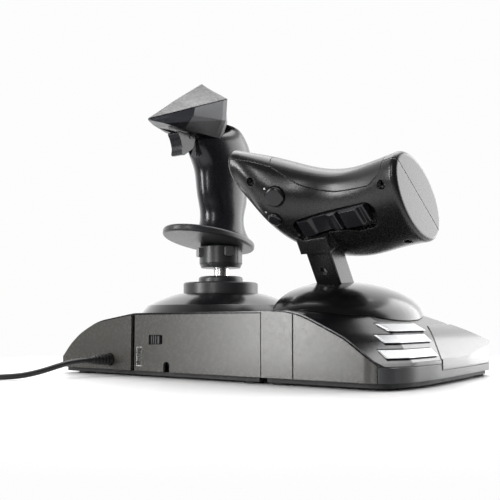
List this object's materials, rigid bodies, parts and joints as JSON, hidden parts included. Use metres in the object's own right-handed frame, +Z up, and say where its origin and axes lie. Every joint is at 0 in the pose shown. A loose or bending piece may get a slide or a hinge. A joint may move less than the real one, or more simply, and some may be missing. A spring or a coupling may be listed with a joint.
{
  "type": "flight joystick",
  "caption": "Desktop flight controller: tilting and twisting stick with trigger beside a throttle lever with wing grip, docked bases and a cord.",
  "frame": {"origin": "middle of the underside of the two docked bases, without the cord", "axes": "+Z up, the user sits at -Y and the wall with the cord faces +Y, the throttle is at -X and the stick at +X"},
  "size_m": [0.3553, 0.3582, 0.2321],
  "materials": {
    "cover_gloss": "semi-gloss moulded black",
    "wall_grey": "matte warm dark grey, fine grain",
    "disc_grey": "satin dark grey",
    "handle_black": "semi-gloss black",
    "head_matte": "matte black",
    "grip_black": "semi-gloss black",
    "button_black": "gloss black",
    "silver": "silver paint",
    "steel": "satin",
    "rubber_black": "matte",
    "inner_plastic": "plain moulded",
    "board_green": "circuit board",
    "cord_black": "soft matte",
    "plinth_black": "matte black"
  },
  "bodies": {
    "root": {"base_screws": "steel", "cord_coil": "cord_black", "expansion_socket": "steel", "gimbal_housing": "inner_plastic", "joystick_back_wall": "wall_grey", "joystick_bottom_plate": "plinth_black", "joystick_cover": "cover_gloss", "joystick_wing_wall": "wall_grey", "louvre_bars": "silver", "main_board": "board_green", "mode_switch_body": "inner_plastic", "pitch_pins": "steel", "pitch_sensor": "inner_plastic", "rubber_feet": "rubber_black", "strain_relief": "cord_black", "throttle_axle": "steel", "throttle_back_wall": "wall_grey", "throttle_bottom_plate": "plinth_black", "throttle_bracket": "inner_plastic", "throttle_cover": "cover_gloss", "throttle_front_plate": "cover_gloss", "throttle_hump": "cover_gloss", "throttle_lower_case": "disc_grey", "throttle_sensor": "inner_plastic", "throttle_side_panel": "wall_grey", "usb_cord": "cord_black", "usb_plug": "cord_black"},
    "pitch_frame": {"pitch_yoke": "inner_plastic", "roll_pins": "steel"},
    "roll_frame": {"roll_block": "inner_plastic", "stick_shaft": "steel", "centring_spring": "steel"},
    "stick": {"twist_collar": "disc_grey", "lock_knobs": "silver", "hand_rest_flange": "disc_grey", "handle_left_shell": "handle_black", "handle_right_shell": "handle_black", "head_band": "handle_black", "head_cap": "head_matte"},
    "trigger": {"trigger": "handle_black"},
    "hat_side": {"hat_ring": "button_black"},
    "hat": {"hat_cap": "button_black"},
    "head_button_left": {"head_button_left": "button_black"},
    "head_button_right": {"head_button_right": "button_black"},
    "slide_carrier": {"disc_carrier": "disc_grey"},
    "discs": {"large_disc": "disc_grey", "small_disc": "disc_grey"},
    "mode_switch": {"mode_switch_slider": "inner_plastic"},
    "throttle": {"throttle_arm": "grip_black", "slot_shield": "grip_black", "grip_finger_shell": "grip_black", "grip_palm_shell": "grip_black", "palm_panel": "grip_black", "grip_screws": "steel", "grip_board": "board_green"},
    "rocker": {"finger_rocker": "button_black"},
    "finger_button_upper": {"finger_button_upper": "button_black"},
    "finger_button_lower": {"finger_button_lower": "button_black"},
    "thumb_button_upper": {"thumb_button_upper": "button_black"},
    "thumb_button_lower": {"thumb_button_lower": "button_black"}
  },
  "joints": [
    {"name": "stick_pitch", "type": "hinge", "parent": "root", "child": "pitch_frame", "pos_m": [0.049, 0.013, 0.024], "axis": [1, 0, 0], "range_deg": [-12, 12], "stiffness_Nm_per_rad": 2.5},
    {"name": "stick_roll", "type": "hinge", "parent": "pitch_frame", "child": "roll_frame", "pos_m": [0.049, 0.013, 0.024], "axis": [0, 1, 0], "range_deg": [-12, 12], "stiffness_Nm_per_rad": 2.5},
    {"name": "stick_twist", "type": "hinge", "parent": "roll_frame", "child": "stick", "pos_m": [0.049, 0.013, 0.09], "axis": [0, 0, 1], "range_deg": [-15, 15], "stiffness_Nm_per_rad": 0.6},
    {"name": "trigger_pull", "type": "hinge", "parent": "stick", "child": "trigger", "pos_m": [0.049, 0.057, 0.184], "axis": [1, 0, 0], "range_deg": [-10, 0], "stiffness_Nm_per_rad": 0.3},
    {"name": "hat_up_down", "type": "hinge", "parent": "stick", "child": "hat_side", "pos_m": [0.049, 0.0324, 0.218], "axis": [1, 0, 0], "range_deg": [-6, 6], "stiffness_Nm_per_rad": 0.05},
    {"name": "hat_left_right", "type": "hinge", "parent": "hat_side", "child": "hat", "pos_m": [0.049, 0.0324, 0.218], "axis": [0, 0.28, 0.96], "range_deg": [-6, 6], "stiffness_Nm_per_rad": 0.05},
    {"name": "head_button_left_press", "type": "slide", "parent": "stick", "child": "head_button_left", "axis": [0, 0.96, -0.28], "range_m": [0, 0.0015], "stiffness_N_per_m": 300},
    {"name": "head_button_right_press", "type": "slide", "parent": "stick", "child": "head_button_right", "axis": [0, 0.96, -0.28], "range_m": [0, 0.0015], "stiffness_N_per_m": 300},
    {"name": "carrier_slide", "type": "slide", "parent": "root", "child": "slide_carrier", "axis": [0, 1, 0], "range_m": [-0.0099, 0.0099]},
    {"name": "disc_slide", "type": "slide", "parent": "slide_carrier", "child": "discs", "axis": [1, 0, 0], "range_m": [-0.0099, 0.0099]},
    {"name": "mode_switch_slide", "type": "slide", "parent": "root", "child": "mode_switch", "axis": [-1, 0, 0], "range_m": [0, 0.004]},
    {"name": "throttle_lever", "type": "hinge", "parent": "root", "child": "throttle", "pos_m": [-0.065, -0.0095, 0.021], "axis": [1, 0, 0], "range_deg": [0, 60]},
    {"name": "rocker_tilt", "type": "hinge", "parent": "throttle", "child": "rocker", "pos_m": [-0.085, 0.0524, 0.11], "axis": [-0.14, -0.6632, -0.7352], "range_deg": [-3.5, 3.5], "stiffness_Nm_per_rad": 0.2},
    {"name": "finger_button_upper_press", "type": "slide", "parent": "throttle", "child": "finger_button_upper", "axis": [0.2027, -0.8819, 0.4257], "range_m": [0, 0.0012], "stiffness_N_per_m": 300},
    {"name": "finger_button_lower_press", "type": "slide", "parent": "throttle", "child": "finger_button_lower", "axis": [0, -0.7071, 0.7071], "range_m": [0, 0.0012], "stiffness_N_per_m": 300},
    {"name": "thumb_button_upper_press", "type": "slide", "parent": "throttle", "child": "thumb_button_upper", "axis": [0, 0.5519, -0.8339], "range_m": [0, 0.0012], "stiffness_N_per_m": 300},
    {"name": "thumb_button_lower_press", "type": "slide", "parent": "throttle", "child": "thumb_button_lower", "axis": [0, 0.5519, -0.8339], "range_m": [0, 0.0012], "stiffness_N_per_m": 300}
  ],
  "couplings": [
    {"joint": "carrier_slide", "follows": "stick_pitch", "m_per_rad": -0.047},
    {"joint": "disc_slide", "follows": "stick_roll", "m_per_rad": 0.047}
  ]
}
